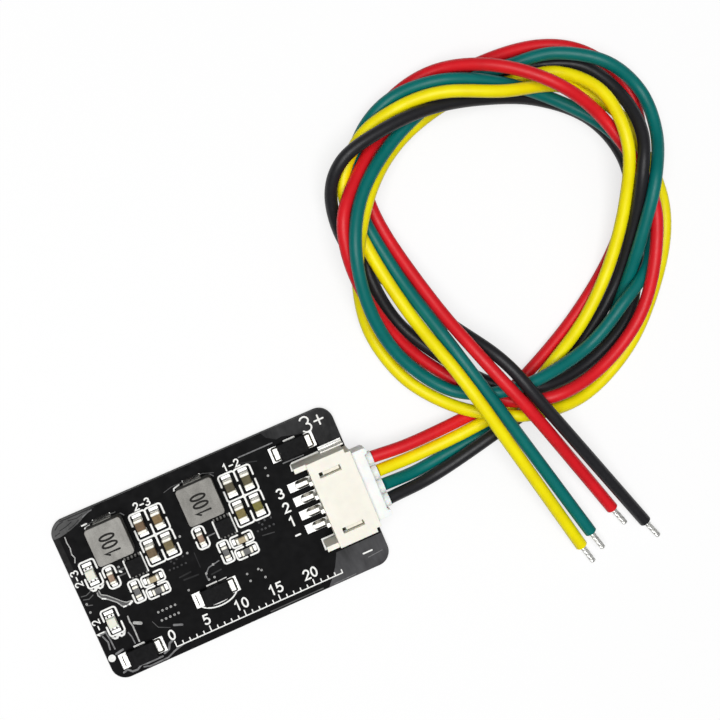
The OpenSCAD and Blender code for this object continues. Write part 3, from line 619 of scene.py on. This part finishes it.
def add_tracks():
    """Gaps in the copper show as paler lines, tracks with thin mask as bright ones."""
    add_lines("board_gaps", "weave", 0.004, [
        ([(-17.5, 0.6), (-17.35, 0.0), (-16.75, -0.5), (-15.9, -1.2),
          (-15.25, -2.1), (-14.7, -2.35), (-14, -2.3)], 0.4),
        ([(-15.6, 9.5), (-11.2, 9.55)], 0.12), ([(-4.4, 9.3), (-3.2, 9.6), (1.2, 9.6), (2.6, 9.1)], 0.1),
        ([(-14.1, 2.2), (-13.2, 2.2)], 0.3), ([(-14.1, 1.5), (-13.2, 1.5)], 0.2),
        ([(-1.4, 1.6), (-0.6, 1.6)], 0.2), ([(2.2, -11.2), (9.8, -11.2)], 0.16),
        ([(12.8, 8.7), (14.0, 9.2)], 0.2), ([(-19.7, 1.0), (-19.0, 0.9), (-18.3, 1.2)], 0.12),
        ([(-19.6, 0.5), (-18.9, 0.3), (-18.2, 0.6)], 0.12), ([(-19.5, -0.4), (-18.8, -0.6)], 0.12),
        ([(-12.6, -5.9), (-12.2, -6.9), (-10.8, -7.6)], 0.1),
    ])
    # The streaks near the upper left corner are part of the painted reflection there. The rest are faint
    # lines in the mask.
    add_lines("board_streaks", "dim", 0.004, [
        ([(-3.95, 0.3), (-3.98, -1.8)], 0.12), ([(-7.0, -1.95), (-5.4, -1.85)], 0.2),
        ([(-6.6, -2.5), (-4.6, -2.6)], 0.22), ([(5.2, -1.3), (6.8, -1.5)], 0.16),
        ([(6.0, 8.9), (8.4, 8.2)], 0.14), ([(-3.0, -3.3), (-1.6, -3.2)], 0.2),
        ([(-18.7, 10.15), (-17.7, 10.35), (-16.9, 10.62)], 0.12),
        ([(-19.2, 10.5), (-18.6, 10.95), (-17.9, 11.1)], 0.13),
        ([(-17.6, 9.85), (-16.7, 10.1), (-15.9, 10.5)], 0.1),
        ([(-17.2, 10.95), (-16.0, 10.8), (-15.2, 11.0)], 0.11), ([(-18.2, 11.27), (-13.5, 11.27)], 0.16),
        ([(-19.5, 9.75), (-18.8, 9.9)], 0.12),
    ])
    add_lines("board_faint_tracks", "faint", 0.008, [
        ([(-19.45, -4.7), (-18.7, -4.6)], 0.3), ([(-19.3, -5.0), (-18.95, -6.0), (-19.1, -7.0)], 0.22),
        ([(-18.7, -4.8), (-18.55, -5.9), (-18.5, -7.2)], 0.2),
        ([(-16.05, -5.9), (-15.85, -6.6), (-15.8, -7.6)], 0.16),
        ([(-3.7, -3.6), (-3.7, -3.0), (-3.0, -2.3), (-1.4, -2.0)], 0.16),
        ([(6.4, 9.62), (11.2, 9.62)], 0.17), ([(11.5, 6.5), (14.4, 6.45)], 0.16),
        ([(-15.3, 10.62), (-14.4, 10.95), (-13.9, 11.05)], 0.12),
        ([(-18.7, -10.6), (-18.1, -10.45), (-17.6, -10.95), (-16.9, -11.0)], 0.26),
        ([(-16.9, -11.0), (-16.2, -10.6), (-15.5, -10.75), (-13.2, -10.75)], 0.24),
        ([(-16.0, -11.0), (-15.2, -11.25)], 0.2),
        ([(-15.2, -11.25), (-12.6, -11.2), (-11.4, -10.7), (-10.2, -10.4)], 0.22),
        ([(-12.8, -10.45), (-12.1, -10.2), (-11.7, -9.5), (-11.2, -9.3)], 0.3),
        ([(-18.6, -7.9), (-17.6, -7.7)], 0.3), ([(-14.5, 9.15), (-11.7, 9.15)], 0.12),
        ([(-1.8, 9.15), (1.0, 9.15)], 0.12), ([(-10.2, -7.5), (-9.2, -7.9)], 0.3),
        ([(-11.2, 9.2), (-10.6, 9.1), (-10.3, 8.7)], 0.14), ([(1.5, 9.2), (2.1, 9.1), (2.4, 8.7)], 0.14),
        ([(11.4, -11.28), (14.6, -11.24)], 0.1), ([(17.0, -9.85), (19.1, -9.7)], 0.1),
        ([(-1.25, 1.6), (-0.45, 1.62)], 0.14),
    ])
    add_lines("board_tracks", "track", TRACK_RISE, [
        ([(-17.6, 0.6), (-17.65, 0.25), (-17.3, -0.35), (-16.65, -0.75),
          (-15.75, -1.6), (-15.35, -2.35), (-14.9, -2.55), (-14.2, -2.4)], 0.16),
        ([(-17.3, 0.8), (-17.25, 0.2), (-16.6, -0.2), (-15.9, -0.9),
          (-15.05, -1.8), (-14.6, -2.1), (-13.9, -2.15)], 0.13),
        ([(-15.25, -3.9), (-15.3, -4.7), (-15.15, -5.4), (-15.2, -7.6)], 0.2),
        ([(-14.8, -5.05), (-14.05, -5.45)], 0.42),
        ([(-18.45, 9.1), (-18.5, 8.3), (-18.4, 7.5), (-18.55, 6.7), (-18.35, 6.1), (-18.6, 5.5)], 0.15),
    ])


def add_vias():
    """Plated holes: bright rings, and dim ones where mask covers them."""
    bare = [(-11.4 + 0.6 * k, y) for k in range(5) for y in (-5.05, -6.25)]
    bare += [(1.3, -5.2), (1.35, -6.25), (3.25, -5.5), (3.35, -6.6), (2.9, -5.2), (-6.6, -4.0), (-4.8, 0.65)]
    bare += [(-4.8, 3.1), (-3.6, -2.9), (-2.3, -2.15), (-3.6, -3.8), (-2.8, -3.8), (9.0, 5.8), (9.1, 6.9)]
    bare += [(-19.45, -0.2), (-19.45, -1.4), (-13.7, 2.65)]
    covered = [(-7.8, -0.5), (-7.2, -0.5), (-6.7, -0.55), (-6.1, -0.5), (-5.5, -0.5)]
    covered += [(-6.9, 0.1), (-7.2, 0.5), (-6.4, 0.5), (-5.5, 0.5)]
    next_cell, hole = 12.65, 0.05
    covered += [(x + next_cell, y) for x, y in covered]
    for name, look, spots, r in (
        ("board_vias", "track", bare, 0.16), ("board_vias_covered", "glass", covered, 0.14),
    ):
        bm = bmesh.new()
        for x, y in spots:
            outer, inner = (arc(x, y, size, size, 0, 360, 16)[:-1] for size in (r, hole))
            band(bm, outer, inner, TOP, POUR_Z + TRACK_RISE)
        place(name, bm, look, "tinned_copper")


# Signs in a box 0.6 wide and 1 high. Strokes that meet lie at heights that differ by DROP.
GLYPHS = {
    "0": [arc(0.3, 0.5, 0.28, 0.5, 90, 270), arc(0.3, 0.5, 0.28, 0.5, -90, 90)],
    "1": [[(0.1, 0.76), (0.34, 1), (0.34, 0)]],
    "2": [arc(0.3, 0.7, 0.28, 0.3, 165, -35, 9) + [(0.02, 0), (0.6, 0)]],
    "3": [arc(0.26, 0.75, 0.28, 0.25, 150, -75, 8), arc(0.27, 0.27, 0.31, 0.27, 75, -150, 9)],
    "5": [[(0.55, 1), (0.1, 1), (0.06, 0.58)] + arc(0.26, 0.32, 0.31, 0.32, 100, -140, 10)],
    "-": [[(0.06, 0.45), (0.54, 0.45)]],
    "+": [[(0.0, 0.45), (0.6, 0.45)], [(0.3, 0.15), (0.3, 0.75)]],
}
GLYPH_STEP = 0.85
DROP = 0.002


def write(bm, signs, at, height, width, low, high, turn=0.0, narrow=1.0):
    """Plain numbers, their middle at the point given, as printed strokes."""
    across = height * narrow
    length = (GLYPH_STEP * (len(signs) - 1) + 0.6) * across
    cos, sin = math.cos(math.radians(turn)), math.sin(math.radians(turn))
    for k, sign in enumerate(signs):
        for n, line in enumerate(GLYPHS[sign]):
            flat = [((GLYPH_STEP * k + x) * across - length / 2, (y - 0.5) * height) for x, y in line]
            path = [(at[0] + x * cos - y * sin, at[1] + x * sin + y * cos) for x, y in flat]
            stroke(bm, path, width, low, high - n * DROP)


def add_print():
    """White print: frames round the parts, plain numbers and signs, and a scale."""
    bm = bmesh.new()
    low, high = TOP, PRINT_Z

    def brackets(x, y, l, w, gap, width=0.25, r=0.35, drop=0.0):
        """A frame round a part, open at the middle of its long sides."""
        l, w = l / 2 - width / 2, w / 2 - width / 2
        right = arc(l - r, w - r, r, r, 90, 0, 5)
        for side in (-1, 1):
            if w > l:
                path = [(-l, gap / 2)] + arc(-l + r, w - r, r, r, 180, 90, 5) + right + [(l, gap / 2)]
                stroke(bm, [(x + a, y + side * b) for a, b in path], width, low, high - drop)
            else:
                path = [(gap / 2, w)] + right + arc(l - r, -w + r, r, r, 0, -90, 5) + [(gap / 2, -w)]
                stroke(bm, [(x + side * a, y + b) for a, b in path], width, low, high - drop)

    def line(points, width=0.16):
        stroke(bm, points, width, low, high)

    for name, x in zip(("2-3", "1-2"), CELLS):
        for row, drop in ((6.475, 0), (2.76, 2 * DROP)):
            brackets(x + 4.33, row, 2.5, 3.95, 0.7, drop=drop + DROP)
            brackets(x + 6.56, row, 2.5, 3.95, 0.7, drop=drop)
        brackets(x - 1.95, 1.8, 1.85, 3.3, 0.6, r=0.5)
        brackets(x + 0.3, -1.3, 1.72, 3.3, 0.5)
        brackets(x + 2.9, -0.6, 3.3, 1.72, 0.7)
        brackets(x + 2.9, -2.35, 3.3, 1.72, 0.5, drop=DROP)
        line([(x + 0.27, 0.8), (x + 0.27, 3.05)], 0.3)
        line([(x + 2.75, 0.6), (x + 2.75, 3.3)], 0.2)
        write(bm, name, (x + 5.45, 9.1), 0.95, 0.2, low, high)
    for y in (3.3, -3.7):
        brackets(-17.3, y, 2.32, 3.9, 0.85)
        for side in (-1, 1):
            edge = [(0, -1.9), (1.14, -1.9), (1.14, -1.8), (0.7, -2.35), (0.25, -2.4), (0, -2.15)]
            prism(bm, [(-17.3 + side * a, y + b) for a, b in edge], low, high - DROP)
    write(bm, "2-3", (-19.3, 3.4), 0.95, 0.18, low, high, 90)
    write(bm, "1-2", (-19.35, -3.75), 0.95, 0.18, low, high, 90)
    for number, y in (("3", 2.9), ("2", 0.85), ("1", -1.15), ("-", -3.1)):
        write(bm, number, (9.55, y), 1.25, 0.25, low, high)
    write(bm, "3+", (17.2, 10.1), 2.1, 0.22, low, high)
    write(bm, "-", (17.2, -9.0), 2.6, 0.22, low, high)
    line([(-16.1, -7.98), (-14.75, -7.98)], 0.25)
    line([(-14.35, -2.5), (-13.95, -2.28)], 0.3)
    line([(-17.3, -0.35), (-16.9, -0.55)], 0.2)
    line([(-15.2, -2.5), (-14.9, -2.52)], 0.22)
    line([(-13.78, 2.05), (-13.62, 1.9)], 0.26)
    line([(-15.85, 9.6), (-15.2, 9.62)], 0.22)
    line([(-15.6, 9.1), (-14.95, 9.25)], 0.26)
    line([(-3.1, 9.0), (-3.0, 9.25), (-2.2, 9.45)], 0.2)
    line(arc(-3.4, -6.2, 2.7, 1.45, 205, 335, 12), 0.2)
    line(arc(-3.4, -6.2, 2.2, 1.05, 215, 325, 10), 0.16)
    line([(-4.2, -4.47), (-2.8, -4.45)], 0.2)
    line([(-2.5, -4.5), (-1.4, -4.45)], 0.12)
    line([(12.7, 9.22), (14.15, 9.22)], 0.24)
    prism(bm, arc(-19.35, -8.2, 0.5, 0.5, 0, 360, 24)[:-1], low, high)
    line([(16.3, 6.05), (12.6, 6.05), (12.3, 5.85), (12.2, 5.1)], 0.24)
    line([(13.95, -5.05), (12.25, -5.05), (12.2, -6.5)], 0.24)
    add_scale(bm, low, high)
    place("board_print", bm, "print", "lamp_white")


def add_scale(bm, low, high):
    """A plain millimetre scale along the lower edge."""
    start, y = -11.0, -10.35
    for k in range(25):
        tall = 0.8 if k % 5 == 0 else 0.45
        stroke(bm, [(start + k, y), (start + k, y + tall)], 0.16, low, high - DROP)
    stroke(bm, [(start, y), (start + 24, y)], 0.16, low, high)
    for k in (0, 5, 10, 15, 20):
        write(bm, str(k), (start + k, y + 1.75), 1.25, 0.24, low, high)


def islands(bm):
    """The separate solids of a mesh, as lists of points."""
    left, found = set(bm.verts), []
    while left:
        todo, group = [left.pop()], []
        while todo:
            vert = todo.pop()
            group.append(vert.co.copy())
            for edge in vert.link_edges:
                other = edge.other_vert(vert)
                if other in left:
                    left.remove(other)
                    todo.append(other)
        found.append(group)
    return found


def add_solder():
    """Solder that has crept up the end of each part: hollow, and thin at its sides."""
    source = solid_of("solder_fillets")
    wedges = islands(source)
    source.free()
    bm = bmesh.new()
    along, across, wide_end = 8, 8, 1.1
    for points in wedges:
        low = min(p.z for p in points)
        high = max(p.z for p in points)
        crest = [p for p in points if p.z > (low + high) / 2]
        top = (crest[0] + crest[1]) / 2
        middle = sum(points, Vector()) / len(points)
        run_axis = 0 if abs(crest[0].x - crest[1].x) < 1e-3 else 1
        sign = 1 if middle[run_axis] > top[run_axis] else -1
        run = max(abs(p[run_axis] - top[run_axis]) for p in points)
        half = abs(crest[0][1 - run_axis] - crest[1][1 - run_axis]) / 2
        rise = high - low
        hollow = 3.6
        if half > wide_end:
            hollow, run = 1.0, 0.36
        grids = []
        for level in (1, 0):
            grid = []
            for i in range(along + 1):
                u = i / along
                row = []
                for j in range(across + 1):
                    v = 2 * j / across - 1
                    height = level * rise * (1 - u) ** hollow * (1 - 0.35 * v ** 4)
                    at = [0, 0, low + max(height, 0.004 * level)]
                    at[run_axis] = top[run_axis] + sign * run * u
                    at[1 - run_axis] = top[1 - run_axis] + half * v * (1 - 0.12 * u * u)
                    row.append(bm.verts.new(at))
                grid.append(row)
            grids.append(grid)
        for grid in grids:
            for i in range(along):
                for j in range(across):
                    bm.faces.new((grid[i][j], grid[i + 1][j], grid[i + 1][j + 1], grid[i][j + 1]))
        rim = [(i, 0) for i in range(along)] + [(along, j) for j in range(across)]
        rim += [(i, across) for i in range(along, 0, -1)] + [(0, j) for j in range(across, 0, -1)]
        for (i, j), (m, n) in zip(rim, rim[1:] + rim[:1]):
            bm.faces.new((grids[0][i][j], grids[0][m][n], grids[1][m][n], grids[1][i][j]))
    place("solder_fine", bm, "solder", "solder", ["solder_fillets"], 50)


def mound(bm, x, y, l, w, base, rise, spread, r=0.12, hollow=1.5):
    """Solder drawn up all round a lead, steep against it and thin at its rim."""
    steps, loops = 7, []
    for k in range(steps + 1):
        out = spread * (1 - k / steps) ** hollow
        loops.append([bm.verts.new((*at, base + rise * k / steps))
                      for at in round_box(x, y, l + 2 * out, w + 2 * out, r + out, 4)])
    bm.faces.new(loops[0][::-1])
    bm.faces.new(loops[-1])
    for one, two in zip(loops, loops[1:]):
        for k in range(len(one)):
            n = (k + 1) % len(one)
            bm.faces.new((one[k], one[n], two[n], two[k]))


def add_joints():
    """Solder round the header's feet, the diodes' right leads and the third diode's left one. Its grey,
    darker than the fillets' solder, is painted reflection.
    """
    bm = bmesh.new()
    base, half_lead = TOP + 0.05, 0.36
    for y in PIN_Y.values():
        mound(bm, 12.8, y, 1.3, 0.44, base, 0.53, 0.38)
    for number in (1, 2, 3):
        low, high = (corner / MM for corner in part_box("diode_leads_%d" % number))
        leads = [high.x - half_lead]
        if number == 3:
            leads.insert(0, low.x + half_lead)
        for x in leads:
            mound(bm, x, (low.y + high.y) / 2, 0.74, high.y - low.y, base, 0.17, 0.24, 0.05, 1.3)
    place("solder_joints", bm, "joint", "solder", sharp=50)


def add_pads():
    """Tinned pads, bright but for the controllers' own, which are dull."""
    bm = soften(solid_of("copper_pads"), 0.02, 2)
    rows = [[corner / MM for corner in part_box("controller_pins_%d" % number)] for number in (1, 2)]
    reach = 0.3
    for face in bm.faces:
        at = face.calc_center_median()
        for low, high in rows:
            if low.x - reach < at.x < high.x + reach and low.y - reach < at.y < high.y + reach:
                face.material_index = 1
    place("copper_pads_fine", bm, ["pads", "dull_pin"], "tinned_copper", ["copper_pads"])


def add_slot_ends():
    """What shows in the header's slots: a hollow at the near end, then a rib with a gap on two sides. The
    dark plate in the hollow, the dark strips along the gap and the rib's greyer colour are painted shade.
    """
    hollow_shades, gap_shadows, rib_shades = bmesh.new(), bmesh.new(), bmesh.new()
    for y in (-SLOT_Y, SLOT_Y):
        prism(hollow_shades, round_box(15.375, y, 0.51, 0.7, 0.03, 2), 4.84, 4.87)
        angle = [(15.68, y - 0.36), (18.08, y - 0.36), (18.08, y + 0.36), (17.92, y + 0.36)]
        prism(gap_shadows, angle + [(17.92, y - 0.22), (15.68, y - 0.22)], 5.64, 5.66)
        prism(rib_shades, round_box(16.8, y + 0.07, 2.22, 0.56, 0.05, 3), 5.64, 5.69)
    place("slot_hollows_painted_shade", hollow_shades, "hollow", "plug_white")
    place("slot_gaps_painted_shadow", gap_shadows, "gap", "plug_white")
    place("slot_ribs_painted_shade", rib_shades, "rib", "plug_white")


add_board()
add_pour()
add_tracks()
add_vias()
add_print()
add_solder()
add_joints()
add_slot_ends()
add_pads()


# Parts on the board


def topped(node, width, top, side, slot, segments=3):
    """A softened solid with one look on its top and another round its sides."""
    bm = soften(solid_of(node), width, segments)
    bm.normal_update()
    for face in bm.faces:
        face.material_index = 0 if face.normal.z > 0.5 else 1
    place(node + "_fine", bm, [top, side], slot, [node])


def add_core(number):
    """An inductor: core, a plain number on its top and its terminals. The core's darker sides and the
    terminals' dark grey are painted shade.
    """
    node = "inductor_core_%d" % number
    topped(node, 0.13, "core_%d" % number, "core_side", "inductor_grey")
    low, high = (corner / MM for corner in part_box(node))
    middle = ((low.x + high.x) / 2 - 0.05, (low.y + high.y) / 2 - 0.3)
    bm = bmesh.new()
    write(bm, "100", middle, 1.95, 0.28, high.z - 0.03, high.z + 0.012, 90, 0.62)
    place("inductor_mark_%d" % number, bm, "mark", "inductor_grey")
    rounded("inductor_terminals_%d" % number, 0.04, "fold", "tinned_metal", 2)


def add_diode(number):
    """A diode: body, the band that marks one end and its leads."""
    node = "diode_%d" % number
    rounded(node, 0.09, "mould", "mould_black")
    low, high = (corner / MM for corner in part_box(node))
    left, right, near, far = low.x + 0.75, low.x + 1.1, low.y + 0.12, high.y - 0.12
    bm = bmesh.new()
    prism(bm, [(left, near), (right, near), (right, far), (left, far)], high.z - 0.02, high.z + 0.006)
    place(node + "_band", bm, "band", "mould_black")
    rounded("diode_leads_%d" % number, 0.05, "tin", "tinned_metal")


def add_lamp_holes(number):
    """Dark spots in a lamp's ends, two at each end, and two dots in the print below it."""
    low, high = (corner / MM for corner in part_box("lamp_ends_%d" % number))
    middle_x, middle_y = (low.x + high.x) / 2, (low.y + high.y) / 2
    bm = bmesh.new()
    for x in (-0.28, 0.28):
        for y in (low.y + 0.12, high.y - 0.12):
            hole = arc(middle_x + x, y, 0.12, 0.12, 0, 360, 16)[:-1]
            prism(bm, hole, high.z - 0.1, high.z + 0.008)
        point = arc(middle_x + 1.7 * x, middle_y - 2.0, 0.11, 0.11, 0, 360, 16)[:-1]
        prism(bm, point, PRINT_Z - 0.01, PRINT_Z + 0.004)
    place("lamp_dark_spots_%d" % number, bm, "mark", "tinned_metal")


for number in (1, 2):
    add_core(number)
    for cap in range(4 * number - 3, 4 * number + 1):
        rounded("capacitor_%d" % cap, 0.09, "cap_%d" % cap, "ceramic_brown")
    rounded("capacitor_ends_%d" % number, 0.13, "chip_tin", "tinned_metal", 4)
    rounded("input_capacitor_%d" % number, 0.06, "red_cap", "ceramic_red")
    rounded("filter_capacitor_%d" % number, 0.06, "tan_cap", "ceramic_tan")
    topped("set_resistor_%d" % number, 0.04, "glaze", "alumina", "resistor_grey", 2)
    topped("sense_resistor_%d" % number, 0.04, "glaze", "alumina", "resistor_grey", 2)
    rounded("chip_ends_%d" % number, 0.08, "chip_tin", "tinned_metal")
    rounded("controller_%d" % number, 0.06, "mould", "mould_black")
    rounded("controller_pins_%d" % number, 0.03, "dull_pin", "tinned_metal", 2)
    rounded("lamp_base_%d" % number, 0.04, "lamp_base", "lamp_white", 2)
    rounded("lamp_top_%d" % number, 0.16, "lamp_top", "lamp_clear", 4)
    rounded("lamp_ends_%d" % number, 0.05, "pads", "tinned_metal", 2)
    add_lamp_holes(number)
for number in (1, 2, 3):
    add_diode(number)
# Cuts along the slots and along the row of pins: which way the faces look, the axis and the place
SLOTS_AND_PINS = [(2, 1, -SLOT_Y), (2, 1, SLOT_Y), (0, 2, CONTACT_Z)]
rounded("header_housing", 0.05, "header", "header_cream", 3, SLOTS_AND_PINS)
rounded("header_pins", 0.07, "tin", "tinned_metal")
rounded("header_tabs", 0.06, "tin", "tinned_metal")


# Floor and light

FLOOR_HALF, FLOOR_GREY, FLOOR_GLOW = 40.0, 0.3, 0.7
MIDDLE = Vector((28, 13, 2)) * MM
KEY_FROM = Vector((-25, 0, 230)).normalized()
KEY_AWAY, KEY_SIZE, KEY_WATTS = 0.55, 0.42, 2.68
HORIZON, ZENITH = 0.02, 0.3


def add_floor():
    """A grey floor that shows white to the camera and in reflections, and keeps the shadow."""
    bm = bmesh.new()
    bmesh.ops.create_grid(bm, x_segments=1, y_segments=1, size=FLOOR_HALF)
    mesh = bpy.data.meshes.new("floor")
    bm.to_mesh(mesh)
    bm.free()
    made = bpy.data.objects.new("floor", mesh)
    bpy.context.scene.collection.objects.link(made)
    look = Look("floor_white")
    path = look.node("LightPath").outputs
    seen = look.node("Math", {0: path["Is Camera Ray"], 1: path["Is Glossy Ray"]}, operation="MAXIMUM")
    also = look.node("Math", {0: seen.outputs[0], 1: path["Is Transmission Ray"]}, operation="MAXIMUM")
    part = look.node("Math", {0: also.outputs[0], 1: FLOOR_GLOW}, operation="MULTIPLY")
    glow = look.node("Emission", {"Strength": part.outputs[0]})
    matt = look.node("BsdfDiffuse", {"Color": (FLOOR_GREY, FLOOR_GREY, FLOOR_GREY, 1)})
    both = look.node("AddShader", {0: matt.outputs[0], 1: glow.outputs[0]})
    look.tree.links.new(both.outputs[0], look.tree.nodes["Material Output"].inputs["Surface"])
    look.tree.nodes.remove(look.shader)
    mesh.materials.append(look.material)


def add_light():
    """One broad lamp overhead, and a sky that is brighter towards its top."""
    data = bpy.data.lights.new("key", "AREA")
    data.shape = "DISK"
    data.size = KEY_SIZE
    data.energy = KEY_WATTS
    key = bpy.data.objects.new("key", data)
    bpy.context.scene.collection.objects.link(key)
    turn = KEY_FROM.to_track_quat("Z", "Y").to_matrix().to_4x4()
    key.matrix_world = Matrix.Translation(MIDDLE + KEY_FROM * KEY_AWAY) @ turn
    world = bpy.data.worlds.new("studio")
    bpy.context.scene.world = world
    world.use_nodes = True
    tree = world.node_tree
    sky = tree.nodes.new("ShaderNodeTexCoord")
    split = tree.nodes.new("ShaderNodeSeparateXYZ")
    ramp = tree.nodes.new("ShaderNodeValToRGB")
    ramp.color_ramp.elements[0].color = (HORIZON, HORIZON, HORIZON, 1)
    ramp.color_ramp.elements[0].position = 0.1
    ramp.color_ramp.elements[1].color = (ZENITH, ZENITH, ZENITH, 1)
    ramp.color_ramp.elements[1].position = 0.9
    tree.links.new(sky.outputs["Generated"], split.inputs[0])
    tree.links.new(split.outputs["Z"], ramp.inputs[0])
    tree.links.new(ramp.outputs[0], tree.nodes["Background"].inputs["Color"])


add_floor()
add_light()
bpy.context.scene.view_settings.view_transform = "Standard"
